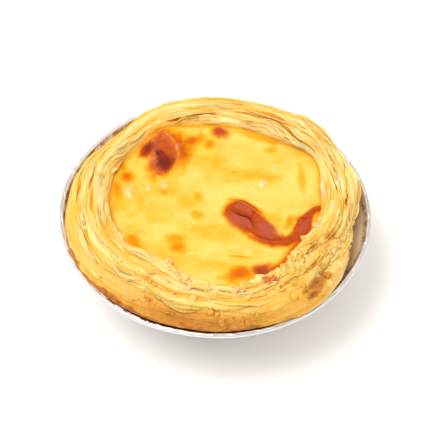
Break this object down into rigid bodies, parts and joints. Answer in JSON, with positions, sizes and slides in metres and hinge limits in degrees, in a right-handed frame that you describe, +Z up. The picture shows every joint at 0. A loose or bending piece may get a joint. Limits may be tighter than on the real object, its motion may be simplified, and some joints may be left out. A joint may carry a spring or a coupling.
{
  "type": "egg tart",
  "caption": "Round egg tart: blistered custard in a puffed, flaky pastry shell that sits in a flared foil cup with a rolled rim.",
  "frame": {"origin": "centre of the foil cup's flat base, on the surface it stands on", "axes": "+Z up along the tart's axis, -Y towards the side whose pastry is widest and most granular, +X towards the side where the pastry stands away from the foil"},
  "size_m": [0.0742, 0.0738, 0.0256],
  "materials": {
    "foil": "thin pleated aluminium foil, bright, hand-pressed",
    "baked_pastry": "golden baked puff pastry in thin flaky layers, slightly greasy sheen, browner where it leaves the foil",
    "custard": "set egg custard, glossy yellow skin with deep brown caramelised blisters"
  },
  "bodies": {
    "root": {"foil_cup": "foil", "pastry_shell": "baked_pastry", "custard": "custard"}
  },
  "joints": []
}
